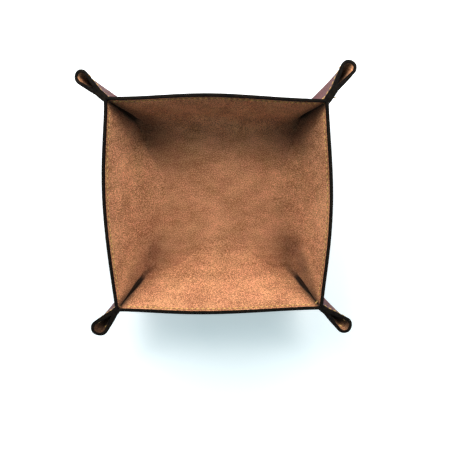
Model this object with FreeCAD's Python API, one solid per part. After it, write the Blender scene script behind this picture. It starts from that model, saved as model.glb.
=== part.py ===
import FreeCAD, Part
import math
import os
from collections import namedtuple

# A valet tray folded from one square two-ply sheet, in millimetres, +Z up.
# It stands on z = 0, and the origin is the centre of its flat underside. North is +Y, east is +X.

# Sheet
LEATHER_THICKNESS = 1.3
SUEDE_THICKNESS = 0.8

# Tray, measured on the suede face
RIM_HALF_WIDTH = 80.0
RIM_HEIGHT = 46.7
WALL_LEAN_DEG = 18.0
BEND_INSIDE_RADIUS = 13.0
BASE_BOW = 0.5
NORTH_SOUTH_RIM_BOW = 3.2
EAST_WEST_RIM_BOW = 4.6
RIM_FALL_DEG = 8.0

# Pinched corners, measured on the suede face
BASE_CORNER_RADIUS = 16.0
BASE_CORNER_OPENING = 17.0
EAR_SAG = 5.0
NECK_GAP = 0.4
NECK_ROOT_OUTSIDE_RADIUS = 0.6
LOOP_SHOULDER_OUTSIDE_RADIUS = 10.0
BASE_SHOULDER_OUTSIDE_RADIUS = 2.0

# Ears: turn of the corner, swing off the diagonal, reach of the loop centre, inside radius of the loop
Ear = namedtuple("Ear", "name turn_deg swing_deg reach loop_radius")
EARS = [
    Ear("north_east", turn_deg=45.0, swing_deg=9.0, reach=29.6, loop_radius=3.4),
    Ear("north_west", turn_deg=135.0, swing_deg=4.0, reach=24.3, loop_radius=3.0),
    Ear("south_west", turn_deg=225.0, swing_deg=2.0, reach=24.5, loop_radius=4.7),
    Ear("south_east", turn_deg=315.0, swing_deg=1.0, reach=26.7, loop_radius=4.6),
]

# Edge paint
COAT_THICKNESS = 0.4
COAT_SIDE_THICKNESS = 0.2

# Lockstitch seam
SEAM_INSET = 2.0
STITCH_PITCH = 4.23
STITCH_LENGTH = 3.2
STITCH_WIDTH = 0.7
STITCH_HEIGHT = 0.35
STITCH_TAPER = 0.2

# Thread tacks
TACK_DROP = 4.5
TACK_THREAD_DIAMETER = 0.9
TACK_HOLE_CLEARANCE = 0.1
TACK_NECK_REACH = 4.0
TACK_BAR_STAND = 1.0
TACK_BEND_RADIUS = 0.9

# How the folds develop with height, as shares of the wall's rise, and how the rounds are divided
POCKET_SHARE = 0.2
PRESSED_SHARE = 0.75
LOOP_HUG = 0.97
LOOP_POWER = 6
SAG_POWER = 4
OPENING_POWER = 3
BEND_SHARES = (0.0, 0.3, 0.55, 0.8, 1.0)
WALL_SHARES = (0.2, 0.45, 0.75, 1.1)
ROOT_CHORDS = 2
SHOULDER_CHORDS = 2
LOOP_CHORDS = 4
WALL_CHORDS = 6
THREAD_SIDES = 6

# Worked-out sizes
SHEET_THICKNESS = LEATHER_THICKNESS + SUEDE_THICKNESS
WALL_RISE = RIM_HEIGHT - SHEET_THICKNESS
WALL_LEAN = math.radians(WALL_LEAN_DEG)
WALL_TURN = math.pi / 2.0 - WALL_LEAN
RIM_FALL = math.tan(math.radians(RIM_FALL_DEG))
ROOT_RADIUS = NECK_ROOT_OUTSIDE_RADIUS + SHEET_THICKNESS
HALF_GAP = NECK_GAP / 2.0
DIAGONAL = math.sqrt(2.0)
RIM_BOWS = [NORTH_SOUTH_RIM_BOW, EAST_WEST_RIM_BOW, NORTH_SOUTH_RIM_BOW, EAST_WEST_RIM_BOW]

Level = namedtuple("Level", "turn rise_share half_width height")
Half = namedtuple("Half", "root shoulder above")
Corner = namedtuple("Corner", "centre loop_radius shoulder_radius axis before after")


def unit(way):
    """Direction of a complex number, which stands for a plan vector."""
    return way / abs(way)


def turn_of(degrees):
    """Direction at an angle as a complex number."""
    return complex(math.cos(math.radians(degrees)), math.sin(math.radians(degrees)))


def ease(share):
    """Smooth step from 0 to 1."""
    inside = min(1.0, max(0.0, share))
    return inside * inside * (3.0 - 2.0 * inside)


def circle_centre(a, b, c):
    """Centre of the circle through three plan points."""
    span = c - a
    turn = (b - a) / span
    return a + span * (turn - abs(turn) ** 2) / (2j * turn.imag)


def level_on_bend(share):
    """Level on the bend from base to wall, share 0 at the base and 1 at the wall."""
    turn = WALL_TURN * share
    wall_foot = RIM_HALF_WIDTH - WALL_RISE * math.tan(WALL_LEAN)
    flat_half = wall_foot - BEND_INSIDE_RADIUS * math.tan(WALL_TURN / 2.0)
    rise = BEND_INSIDE_RADIUS * (1.0 - math.cos(turn))
    half_width = flat_half + BEND_INSIDE_RADIUS * math.sin(turn)
    return Level(turn, rise / WALL_RISE, half_width, SHEET_THICKNESS + rise)


def level_on_wall(share):
    """Level on the leaning wall, share 0 at the top of the bend and 1 at the rim."""
    start = level_on_bend(1.0)
    climb = (RIM_HEIGHT - start.height) * share
    rise_share = start.rise_share + climb / WALL_RISE
    half_width = start.half_width + climb * math.tan(WALL_LEAN)
    return Level(WALL_TURN, rise_share, half_width, start.height + climb)


LEVELS = [level_on_bend(share) for share in BEND_SHARES] + [level_on_wall(share) for share in WALL_SHARES]


def half_corner(centre, loop_radius, shoulder_radius, line_offset, opening):
    """One side of a pinched corner, in the corner's own frame with its wall on the positive side.

    The neck leaves the wall line at the opening and passes the loop centre at the line offset.
    """
    across = opening - centre.imag
    along = opening + centre.real
    angle = math.acos(line_offset / math.hypot(across, along)) - math.atan2(along, across)
    outward = complex(math.cos(angle), -math.sin(angle))
    above = 1j * outward
    back = math.sqrt((loop_radius + shoulder_radius) ** 2 - (line_offset + shoulder_radius) ** 2)
    shoulder = centre + (line_offset + shoulder_radius) * above - back * outward
    start = centre + (line_offset + ROOT_RADIUS) * above
    run = ROOT_RADIUS * DIAGONAL - (start.real + start.imag)
    root = start + outward * run / (outward.real + outward.imag)
    return Half(root, shoulder, above)


def pinched_corner(ear, level):
    """Circle centres of one pinched corner at a level, in the tray's plan."""
    left = max(0.0, 1.0 - level.rise_share)
    loop_radius = ear.loop_radius + (BASE_CORNER_RADIUS - ear.loop_radius) * left ** LOOP_POWER
    tip = (ear.reach + ear.loop_radius) * level.rise_share - EAR_SAG * left ** SAG_POWER
    reach = tip - loop_radius
    axis = turn_of(ear.swing_deg * (1.0 - left ** SAG_POWER))
    openness = ease((PRESSED_SHARE - level.rise_share) / (PRESSED_SHARE - POCKET_SHARE))
    line_offset = HALF_GAP + (LOOP_HUG * loop_radius - HALF_GAP) * openness
    spread = BASE_CORNER_OPENING * left ** OPENING_POWER
    shoulder_outside = LOOP_SHOULDER_OUTSIDE_RADIUS * (1.0 - left) + BASE_SHOULDER_OUTSIDE_RADIUS * left
    shoulder_radius = shoulder_outside + SHEET_THICKNESS
    turn = turn_of(ear.turn_deg)
    place = turn * level.half_width * DIAGONAL
    halves = []
    for side_axis in (axis.conjugate(), axis):
        opening = HALF_GAP / (side_axis.real + side_axis.imag) + spread
        halves.append(half_corner(reach * side_axis, loop_radius, shoulder_radius, line_offset, opening))
    mirrored = Half(*[way.conjugate() for way in halves[0]])
    before, after = [
        Half(place + turn * half.root, place + turn * half.shoulder, turn * half.above)
        for half in (mirrored, halves[1])
    ]
    return Corner(place + turn * reach * axis, loop_radius, shoulder_radius, turn * axis, before, after)


def arc(centre, radius, start, end, chords):
    """Plan points of an arc of under a half circle, from one direction to another."""
    sweep = (unit(end) / unit(start)) ** (1.0 / chords)
    return [centre + radius * unit(start) * sweep ** step for step in range(chords + 1)]


def half_outline(corner, half, wall_centre, outset):
    """Root, neck, shoulder and half loop of one side of a corner, from its wall to the ear's tip."""
    shoulder_radius = corner.shoulder_radius - outset
    loop_radius = corner.loop_radius + outset
    to_shoulder = half.shoulder - corner.centre
    root = arc(half.root, ROOT_RADIUS - outset, wall_centre - half.root, -half.above, ROOT_CHORDS)
    shoulder = arc(half.shoulder, shoulder_radius, -half.above, -to_shoulder, SHOULDER_CHORDS)
    loop = arc(corner.centre, loop_radius, to_shoulder, corner.axis, LOOP_CHORDS)
    return root + shoulder + loop[1:]


def ring(level, inset):
    """Closed outline at a level of the sheet's face that lies inset from the outside."""
    depth = SHEET_THICKNESS - inset
    outset = depth * math.sin(level.turn)
    height = level.height - depth * math.cos(level.turn)
    corners = [pinched_corner(ear, level) for ear in EARS]
    walls = []
    for corner, next_corner, rim_bow in zip(corners, corners[1:] + corners[:1], RIM_BOWS):
        start, end = corner.after.root, next_corner.before.root
        bow = BASE_BOW + (rim_bow - BASE_BOW) * level.rise_share
        centre = circle_centre(start, (start + end) / 2.0 - 1j * unit(end - start) * bow, end)
        walls.append((centre, start, end))
    points = []
    for index, corner in enumerate(corners):
        centre, start, end = walls[index]
        radius = abs(start - centre) - ROOT_RADIUS + outset
        points += half_outline(corner, corner.before, walls[index - 1][0], outset)
        points += half_outline(corner, corner.after, centre, outset)[-2::-1]
        points += arc(centre, radius, start - centre, end - centre, WALL_CHORDS)[1:-1]
    return [FreeCAD.Vector(point.real, point.imag, height) for point in points]


def to_edge(rings, rise):
    """Points where the top strip of a face meets the planes of the cut edge, raised by a rise."""
    edge = []
    for low, high in zip(rings[-2], rings[-1]):
        low_gap, high_gap = [
            RIM_HEIGHT + rise - (max(abs(point.x), abs(point.y)) - RIM_HALF_WIDTH) * RIM_FALL - point.z
            for point in (low, high)
        ]
        edge.append(low + (high - low) * (low_gap / (low_gap - high_gap)))
    return edge


def band(lower, upper):
    """Flat triangles between two closed rows of points, facing outward."""
    outlines = []
    for index, (a, d) in enumerate(zip(lower, upper)):
        following = (index + 1) % len(lower)
        b, c = lower[following], upper[following]
        outlines += [[a, b, c], [a, c, d]]
    return outlines


def turned(outlines):
    """The same outlines facing the other way."""
    return [outline[::-1] for outline in outlines]


def skin(rows):
    """Triangles over all the rows of one face of the sheet, facing outward."""
    outlines = []
    for lower, upper in zip(rows, rows[1:]):
        outlines += band(lower, upper)
    return outlines


def solid_of(outlines):
    """Solid inside a closed set of flat outlines."""
    faces = [Part.Face(Part.makePolygon(outline + outline[:1])) for outline in outlines]
    return Part.Solid(Part.Shell(faces))


def sheet(outside, inside):
    """One ply of the sheet, between two faces given by their rings."""
    outer_rows = outside[:-1] + [to_edge(outside, 0.0)]
    inner_rows = inside[:-1] + [to_edge(inside, 0.0)]
    outlines = skin(outer_rows) + turned(skin(inner_rows)) + band(outer_rows[-1], inner_rows[-1])
    return solid_of(outlines + [outer_rows[0][::-1], inner_rows[0]])


def edge_coat(outside, between, inside):
    """Domed bead of edge paint on the cut edge of both plies."""
    outer_foot, middle_foot, inner_foot = [to_edge(rings, 0.0) for rings in (outside, between, inside)]
    outer_side, inner_side = [to_edge(rings, COAT_SIDE_THICKNESS) for rings in (outside, inside)]
    crown = to_edge(between, COAT_THICKNESS)
    foot = turned(band(outer_foot, middle_foot) + band(middle_foot, inner_foot))
    return solid_of(skin([outer_foot, outer_side, crown, inner_side, inner_foot]) + foot)


def one_stitch():
    """One stitch along X on the XY plane, with tapered sides and ends."""
    signs = [(-1, -1), (1, -1), (1, 1), (-1, 1)]
    length = STITCH_LENGTH / 2.0
    width = STITCH_WIDTH / 2.0
    foot = [FreeCAD.Vector(x * length, y * width, 0.0) for x, y in signs]
    length -= STITCH_TAPER
    width -= STITCH_TAPER
    top = [FreeCAD.Vector(x * length, y * width, STITCH_HEIGHT) for x, y in signs]
    sides = [[foot[i - 1], foot[i], top[i], top[i - 1]] for i in range(4)]
    return solid_of([foot[::-1], top] + sides)


def in_neck(point):
    """Whether a point of the suede face lies in a pressed neck, with no room for a stitch."""
    plan = complex(point.x, point.y)
    ear = max(EARS, key=lambda each: (plan / turn_of(each.turn_deg)).real)
    root = turn_of(ear.turn_deg) * RIM_HALF_WIDTH * DIAGONAL
    place = (plan - root) / turn_of(ear.turn_deg + ear.swing_deg)
    return place.real > 0.0 and abs(place.imag) < 2.0 * STITCH_HEIGHT


def walk(points, distance):
    """Point at a distance along a closed row of points, and the side that it lies on."""
    side = 0
    while True:
        start, end = points[side % len(points)], points[(side + 1) % len(points)]
        length = start.distanceToPoint(end)
        if distance <= length:
            return start + (end - start) * (distance / length), side
        distance -= length
        side += 1


def stitch_row(face, outward):
    """Stitches of the seam on one face of the sheet, outward 1 on the leather and -1 on the suede."""
    seam = to_edge(face, -SEAM_INSET)
    total = sum(a.distanceToPoint(b) for a, b in zip(seam, seam[1:] + seam[:1]))
    count = round(total / STITCH_PITCH)
    pattern = one_stitch()
    row = []
    for index in range(count):
        middle = (index + 0.5) * total / count
        places = [middle - STITCH_LENGTH / 2.0, middle, middle + STITCH_LENGTH / 2.0]
        (start, first), (centre, side), (end, last) = [walk(seam, place) for place in places]
        if outward < 0 and in_neck(centre):
            continue
        along = (end - start).normalize()
        column = side % len(seam)
        up = (face[-2][column] - face[-1][column]).cross(along).normalize() * outward
        seat = (start + end) * 0.5
        crossed = [centre] + [seam[corner % len(seam)] for corner in range(first + 1, last + 1)]
        lifts = [(point - seat).dot(up) for point in crossed]
        if min(lifts) < -STITCH_HEIGHT:
            continue
        seat += up * max(0.0, max(lifts))
        across = up.cross(along)
        stitch = pattern.copy()
        stitch.Placement = FreeCAD.Placement(FreeCAD.Matrix(
            along.x, across.x, up.x, seat.x,
            along.y, across.y, up.y, seat.y,
            along.z, across.z, up.z, seat.z,
        ))
        row.append(stitch)
    return Part.Compound(row)


def tack_loop(ear, diameter):
    """Closed loop of thread round an ear's root, through both walls and the pressed neck."""
    height = RIM_HEIGHT - TACK_DROP
    half_width = RIM_HALF_WIDTH - TACK_DROP * math.tan(WALL_LEAN)
    root = turn_of(ear.turn_deg) * half_width * DIAGONAL
    axis = turn_of(ear.turn_deg + ear.swing_deg)
    side = HALF_GAP + SHEET_THICKNESS + TACK_THREAD_DIAMETER / 2.0
    bar = -(side + TACK_BAR_STAND)
    corners = [complex(bar, -side), complex(TACK_NECK_REACH, -side)]
    corners += [complex(TACK_NECK_REACH, side), complex(bar, side)]
    path = []
    for index, corner in enumerate(corners):
        back = unit(corners[index - 1] - corner)
        ahead = unit(corners[(index + 1) % len(corners)] - corner)
        path += [corner + back * TACK_BEND_RADIUS, corner + ahead * TACK_BEND_RADIUS]
    rows = []
    for index, point in enumerate(path):
        way_in = unit(point - path[index - 1])
        way_out = unit(path[(index + 1) % len(path)] - point)
        mitre = unit(way_in + way_out)
        spread = -1j * mitre / (mitre / way_in).real
        row = []
        for step in range(THREAD_SIDES):
            around = turn_of(360.0 * step / THREAD_SIDES) * diameter / 2.0
            plan = root + axis * (point + spread * around.real)
            row.append(FreeCAD.Vector(plan.real, plan.imag, height + around.imag))
        rows.append(row)
    outlines = []
    for this, following in zip(rows, rows[1:] + rows[:1]):
        for step in range(THREAD_SIDES):
            outlines.append([this[step - 1], following[step - 1], following[step], this[step]])
    return solid_of(outlines)


def main():
    """Build every piece of the tray and write one STEP file for each."""
    outside, between, inside = [
        [ring(level, inset) for level in LEVELS] for inset in (0.0, LEATHER_THICKNESS, SHEET_THICKNESS)
    ]
    hole_diameter = TACK_THREAD_DIAMETER + 2.0 * TACK_HOLE_CLEARANCE
    holes = Part.Compound([tack_loop(ear, hole_diameter) for ear in EARS])
    pieces = {
        "outer_leather": sheet(outside, between).cut(holes),
        "suede_lining": sheet(between, inside).cut(holes),
        "edge_coat": edge_coat(outside, between, inside),
        "leather_stitches": stitch_row(outside, 1),
        "lining_stitches": stitch_row(inside, -1),
    }
    for ear in EARS:
        pieces["corner_tack_" + ear.name] = tack_loop(ear, TACK_THREAD_DIAMETER)
    os.makedirs("parts", exist_ok=True)
    for name, shape in pieces.items():
        shape.exportStep(os.path.join("parts", name + ".step"))
        print(name, "solids", len(shape.Solids), "valid", shape.isValid(), "volume", round(shape.Volume, 1))


main()
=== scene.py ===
import logging
import math
from dataclasses import dataclass, field
from enum import Enum
from typing import Any, ClassVar, Sequence

import bpy
import numpy as np
from mathutils import Matrix, Vector


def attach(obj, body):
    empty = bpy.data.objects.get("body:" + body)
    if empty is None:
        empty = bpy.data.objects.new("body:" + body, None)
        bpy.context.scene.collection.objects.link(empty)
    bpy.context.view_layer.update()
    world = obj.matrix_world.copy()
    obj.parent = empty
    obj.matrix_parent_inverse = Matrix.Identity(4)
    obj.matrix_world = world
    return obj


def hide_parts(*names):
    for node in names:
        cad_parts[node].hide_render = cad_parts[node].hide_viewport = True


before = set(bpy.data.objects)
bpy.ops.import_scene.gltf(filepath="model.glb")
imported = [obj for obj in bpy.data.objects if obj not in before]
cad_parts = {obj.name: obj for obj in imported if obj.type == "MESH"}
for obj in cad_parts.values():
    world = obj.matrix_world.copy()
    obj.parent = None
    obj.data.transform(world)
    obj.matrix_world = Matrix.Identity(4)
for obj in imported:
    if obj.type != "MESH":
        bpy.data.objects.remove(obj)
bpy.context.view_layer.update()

Colour = tuple[float, float, float]
Place = tuple[float, float, float]
Points = np.ndarray
Socket = bpy.types.NodeSocket

LOG = logging.getLogger("valet_tray")
BODY = "root"
WHITE = (1.0, 1.0, 1.0)
UP = (0.0, 0.0, 1.0)
# Metres in a millimetre
MM = 0.001
# How far below the cut edge the seam runs, in millimetres
SEAM_INSET = 2.9
# Average of the patterns that break up a finish
PATTERN_MIDDLE = 0.5


class Face(Enum):
    """The three faces of the two-ply sheet that the pieces lie on."""

    LEATHER = "leather"
    GLUE = "glue"
    SUEDE = "suede"


@dataclass(frozen=True)
class Ear:
    """One pinched corner, in millimetres, with plan places as complex numbers.

    The corner is that of the rim and the loop is the centre of the ear's round end, both on the suede face.
    The throat sets the shoulders back from the loop, and the slit opens the crease below. The shades are
    shares of painted shade inside the loop and in the pocket under it, and the line and its tail paint
    shade along the crease. The lit side is the side of the loop that catches the light, where less shade
    is painted. The bar is the thread inside the corner.
    """

    name: str
    turn_deg: float
    corner: complex
    loop: complex
    loop_radius: float
    throat: float
    slit: float
    # Painted shade: how dark the lining is painted inside the loop, in the pocket and along the crease, where
    # shade falls.
    lip_shade: float
    pocket_shade: float
    pocket_shift: complex
    pocket_reach: float
    tail: float
    line_reach: float = 2.6
    line_shift: complex = 0j
    lit_side: float = 0.0
    twist_deg: float = 0.0
    bar_stand: float = -3.0
    bar_width: float = 0.8
    loose_end: float = 0.0

    @property
    def turn(self) -> complex:
        """Direction of the tray's diagonal at the corner."""
        return turn_of(self.turn_deg)

    def from_corner(self, plan: complex | Points) -> complex | Points:
        """Plan places counted from the corner, along the ear and across it."""
        return (plan - self.corner) / unit(self.loop - self.corner)


@dataclass(frozen=True)
class Wall:
    """Curve of one wall in plan, in millimetres, from one corner to the next.

    The bow is a plain arc at the rim and the belly swells it between corners, furthest out where the peak
    power puts it. The dip draws its foot in towards the middle of the base.
    """

    name: str
    bow: float
    belly: float
    peak_power: float
    dip: float
    dip_power: float = 2.0
    dip_peak: float = 1.0


@dataclass(frozen=True)
class NapAndLightPatch:
    """Soft patch of the lining that looks lighter or darker, partly because its nap lies another way and
    partly as painted light and shade.

    Its place and its half width and half depth are plan millimetres, and its lift is the share of light that
    it adds or takes.
    """

    name: str
    place: complex
    reach: complex
    lift: float


EARS = (
    Ear("north_east", 45.0, complex(80.8, 76.8), complex(97.6, 102.1), loop_radius=3.1, throat=10.0,
        slit=2.2, lip_shade=0.0, lit_side=-0.95, pocket_shade=0.66, pocket_shift=complex(3.0, -10.0),
        pocket_reach=19.0, tail=7.0, line_reach=4.8, line_shift=-2.5j, loose_end=5.8),
    Ear("north_west", 135.0, complex(-80.5, 79.5), complex(-99.4, 95.6), loop_radius=2.7, throat=9.5,
        slit=3.4, lip_shade=0.0, lit_side=0.9, pocket_shade=0.69, pocket_shift=complex(9.0, -7.0),
        pocket_reach=19.0, tail=7.0, line_reach=4.6, line_shift=2.0j, twist_deg=-14.0),
    Ear("south_west", 225.0, complex(-80.3, -81.3), complex(-97.1, -99.6), loop_radius=3.7, throat=11.0,
        slit=3.3, lip_shade=0.88, pocket_shade=0.44, pocket_shift=complex(5.0, 15.0), pocket_reach=18.0,
        tail=13.0, twist_deg=-7.0),
    Ear("south_east", 315.0, complex(80.8, -81.2), complex(100.8, -98.0), loop_radius=3.6, throat=11.0,
        slit=3.5, lip_shade=0.45, lit_side=-0.8, pocket_shade=0.6, pocket_shift=complex(5.0, 20.0),
        pocket_reach=22.0, tail=16.0, bar_stand=-0.5, bar_width=2.2),
)

WALLS = (
    Wall("north", 0.1, 4.4, 1.2, 3.0),
    Wall("west", 1.8, 5.1, 0.82, 13.0, dip_peak=0.6),
    Wall("south", 0.1, 3.1, 0.97, 26.0, dip_power=1.0, dip_peak=1.2),
    Wall("east", 2.6, 2.7, 0.72, 13.0, dip_peak=1.4),
)

# Partly nap and partly painted light and shade: the patches stand in part for light and shade the lamps don't
# give, such as the far wall's shadow on the base. The three lips are painted highlights on the lit inner side
# of the loops.
NAP_AND_LIGHT_PATCHES = (
    NapAndLightPatch("near_base", complex(-4.0, -36.0), complex(58.0, 11.0), -0.15),
    NapAndLightPatch("near_base_west", complex(-41.0, -40.0), complex(16.0, 12.0), -0.13),
    NapAndLightPatch("far_base_west", complex(-38.0, 30.0), complex(17.0, 10.0), -0.22),
    NapAndLightPatch("base_east", complex(48.0, 18.0), complex(28.0, 13.0), 0.18),
    NapAndLightPatch("far_foot", complex(-7.0, 43.0), complex(36.0, 8.0), -0.15),
    NapAndLightPatch("far_foot_east", complex(27.0, 61.0), complex(16.0, 6.0), 0.2),
    NapAndLightPatch("west_wall", complex(-70.0, 27.0), complex(12.0, 14.0), 0.2),
    NapAndLightPatch("west_wall_far", complex(-76.0, 55.0), complex(6.0, 14.0), -0.17),
    NapAndLightPatch("east_wall_far", complex(76.0, 42.0), complex(6.0, 16.0), -0.2),
    NapAndLightPatch("near_wall_west", complex(-68.0, -69.0), complex(12.0, 6.0), 0.18),
    NapAndLightPatch("near_wall_east", complex(52.0, -68.0), complex(16.0, 8.0), 0.18),
    NapAndLightPatch("north_east_lip_highlight", complex(99.5, 99.0), complex(4.0, 6.0), 0.5),
    NapAndLightPatch("north_west_lip_highlight", complex(-101.0, 93.5), complex(4.0, 6.0), 0.5),
    NapAndLightPatch("south_east_lip_highlight", complex(98.5, -100.0), complex(5.0, 4.0), 0.4),
)


@dataclass(frozen=True)
class Level:
    """One height on the folded sheet: its tilt, its share of the rise, its half width and its height."""

    turn: float
    share: float
    half_width: float
    height: float


@dataclass(frozen=True)
class Half:
    """Circle centres on one side of a pinched corner, and the way across its neck."""

    root: complex
    shoulder: complex
    above: complex


@dataclass(frozen=True)
class Corner:
    """All the circles of one pinched corner at a level."""

    centre: complex
    loop_radius: float
    shoulder_radius: float
    axis: complex
    before: Half
    after: Half


@dataclass(frozen=True)
class Wave:
    """One slow wave of the sheet: its height in millimetres, its pace along x and y, and its start."""

    height: float
    along_x: float
    along_y: float
    start: float

    def at(self, x: Points, y: Points) -> Points:
        """Height of the wave at plan places."""
        return self.height * np.sin(self.along_x * x + self.along_y * y + self.start)


@dataclass(frozen=True)
class ClosedLine:
    """How far along a closed row of points each of them lies, and the length of the whole row."""

    lengths: Points
    total: float

    @classmethod
    def through(cls, row: Points) -> "ClosedLine":
        """The line through a row of points, from the last back to the first."""
        steps = np.linalg.norm(np.roll(row, -1, axis=0) - row, axis=1)
        return cls(np.cumsum(steps) - steps, steps.sum())

    def at(self, values: Points, places: Points) -> Points:
        """Vectors at places along the line, blended between those at its points."""
        columns = [np.interp(places, self.lengths, column, period=self.total) for column in values.T]
        return np.stack(columns, axis=1)


def unit(way: complex) -> complex:
    """Direction of a plan vector."""
    return way / abs(way)


def turn_of(degrees: float) -> complex:
    """Direction at an angle from east."""
    return complex(math.cos(math.radians(degrees)), math.sin(math.radians(degrees)))


def ease(share: float) -> float:
    """Smooth step from 0 to 1."""
    inside = min(1.0, max(0.0, share))
    return inside * inside * (3.0 - 2.0 * inside)


def circle_centre(a: complex, b: complex, c: complex) -> complex:
    """Centre of the circle through three plan points."""
    turn = (b - a) / (c - a)
    return a + (c - a) * (turn - abs(turn) ** 2) / (2j * turn.imag)


def arc(centre: complex, radius: float, start: complex, end: complex, chords: int) -> list[complex]:
    """Plan points from the start direction to the end direction, under a half circle, in equal chords."""
    sweep = (unit(end) / unit(start)) ** (1.0 / chords)
    return [centre + radius * unit(start) * sweep ** step for step in range(chords + 1)]


def between(start: complex, end: complex, chords: int) -> list[complex]:
    """Plan points that part a straight line into equal chords, without its ends."""
    return [start + (end - start) * (step / chords) for step in range(1, chords)]


def plan_of(points: Points) -> Points:
    """Plan places of points, as complex numbers."""
    return points[:, 0] + 1j * points[:, 1]


def normalised(rows: Points) -> Points:
    """Unit vectors of an array of vectors."""
    return rows / np.linalg.norm(rows, axis=-1, keepdims=True)


@dataclass(frozen=True)
class TrayForm:
    """The folded shape of the whole sheet, in millimetres, from which every piece takes its place."""

    ears: tuple[Ear, ...]
    walls: tuple[Wall, ...]
    # The sheet, its base and its walls
    leather_thickness: float = 1.3
    suede_thickness: float = 0.8
    rim_half_width: float = 80.0
    rim_height: float = 46.7
    rim_fall_deg: float = 8.0
    wall_lean_deg: float = 18.0
    bend_radius: float = 13.0
    base_bow: float = 0.5
    base_corner_radius: float = 16.0
    dip_fade: float = 0.77
    # The pinched corners
    ear_sag: float = 4.0
    ear_share: float = 0.93
    neck_gap: float = 0.5
    least_neck: float = 0.5
    widest_openness: float = 0.999
    openness_halvings: int = 40
    root_outside_radius: float = 0.6
    loop_shoulder_radius: float = 7.0
    base_shoulder_radius: float = 0.6
    crease_radius: float = 0.7
    flare_power: float = 5.0
    slit_top: float = 0.9
    slit_power: float = 0.62
    loop_hug: float = 0.97
    radius_power: float = 24.0
    sag_power: float = 14.0
    throat_shares: tuple[float, float] = (0.2, 0.7)
    # The straight strip under the cut edge, as shares of the wall
    strip_share: float = 0.78
    over_share: float = 1.12
    # The unevenness of a sheet folded by hand
    wave_span: float = 40.0
    side_waves: tuple[Wave, ...] = (Wave(0.45, 0.0, 1.7, 0.6), Wave(0.3, 2.9, -1.9, 2.0))
    front_waves: tuple[Wave, ...] = (Wave(0.45, 1.5, 0.0, -1.1), Wave(0.3, 2.1, 2.6, 0.7))
    lift_wave: Wave = Wave(0.35, 1.9, 1.3, 0.4)
    # Rows and chords of the mesh
    base_rows: int = 14
    bend_rows: int = 10
    wall_rows: int = 12
    strip_rows: int = 5
    root_chords: int = 6
    neck_chords: int = 6
    shoulder_chords: int = 8
    throat_chords: int = 4
    loop_chords: int = 14
    wall_chords: int = 44

    @property
    def thickness(self) -> float:
        """Thickness of both plies together."""
        return self.leather_thickness + self.suede_thickness

    @property
    def rise(self) -> float:
        """Rise of the suede face from base to rim."""
        return self.rim_height - self.thickness

    @property
    def root_radius(self) -> float:
        """Radius of the neck's root on the suede face."""
        return self.root_outside_radius + self.thickness

    @property
    def lean(self) -> float:
        """Outward lean of the walls in radians."""
        return math.radians(self.wall_lean_deg)

    @property
    def full_turn(self) -> float:
        """Turn of the bend from base to wall in radians."""
        return math.pi / 2.0 - self.lean

    def depth(self, face: Face) -> float:
        """How far a face lies under the suede face."""
        return {Face.SUEDE: 0.0, Face.GLUE: self.suede_thickness, Face.LEATHER: self.thickness}[face]

    def half_width_at(self, share: float | Points) -> float | Points:
        """Half width of the walls, from corner to corner, at a share of the rise."""
        return self.rim_half_width - (1.0 - share) * self.rise * math.tan(self.lean)

    def level_on_bend(self, share: float) -> Level:
        """Level on the bend from base to wall.

        Args:
            share: Share of the bend, 0 at the base and 1 at the wall.

        Returns:
            The level.
        """
        turn = self.full_turn * share
        flat_half = self.half_width_at(0.0) - self.bend_radius * math.tan(self.full_turn / 2.0)
        climb = self.bend_radius * (1.0 - math.cos(turn))
        half_width = flat_half + self.bend_radius * math.sin(turn)
        return Level(turn, climb / self.rise, half_width, self.thickness + climb)

    def level_on_wall(self, share: float) -> Level:
        """Level on the leaning wall.

        Args:
            share: Share of the wall, 0 at the top of the bend and 1 at the rim.

        Returns:
            The level.
        """
        foot = self.level_on_bend(1.0)
        climb = (self.rim_height - foot.height) * share
        half_width = foot.half_width + climb * math.tan(self.lean)
        return Level(foot.turn, foot.share + climb / self.rise, half_width, foot.height + climb)

    def half_corner(self, centre: complex, radii: tuple[float, float], back: float, gap: float,
                    openness: float) -> tuple[Half, float]:
        """One side of a pinched corner in its own frame, with its wall on the positive side.

        Args:
            centre: Centre of the loop.
            radii: Radius of the loop and of the shoulder that leads into it.
            back: How much further back the shoulder sits than where it would touch the loop.
            gap: Width of the neck where it is pressed.
            openness: From 0, where the neck is pressed along the ear's axis, to 1, where it follows the wall.

        Returns:
            The circle centres with the way across the neck, and the length of the neck.
        """
        loop_radius, shoulder_radius = radii
        wall_turn = math.pi / 4.0
        ear_turn = -math.atan(centre.imag / centre.real)
        angle = ear_turn + (wall_turn - ear_turn) * openness
        widest = self.loop_hug * loop_radius
        pressed = min(gap / 2.0, widest)
        offset = pressed + (widest - pressed) * openness
        outward = complex(math.cos(angle), -math.sin(angle))
        above = 1j * outward
        touching = math.sqrt((loop_radius + shoulder_radius) ** 2 - (offset + shoulder_radius) ** 2)
        shoulder = centre + (offset + shoulder_radius) * above - (touching + back) * outward
        start = centre + (offset + self.root_radius) * above
        run = self.root_radius * math.sqrt(2.0) - (start.real + start.imag)
        root = start + outward * run / (outward.real + outward.imag)
        neck = ((shoulder - root) / outward).real
        return Half(root, shoulder, above), neck

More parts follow.
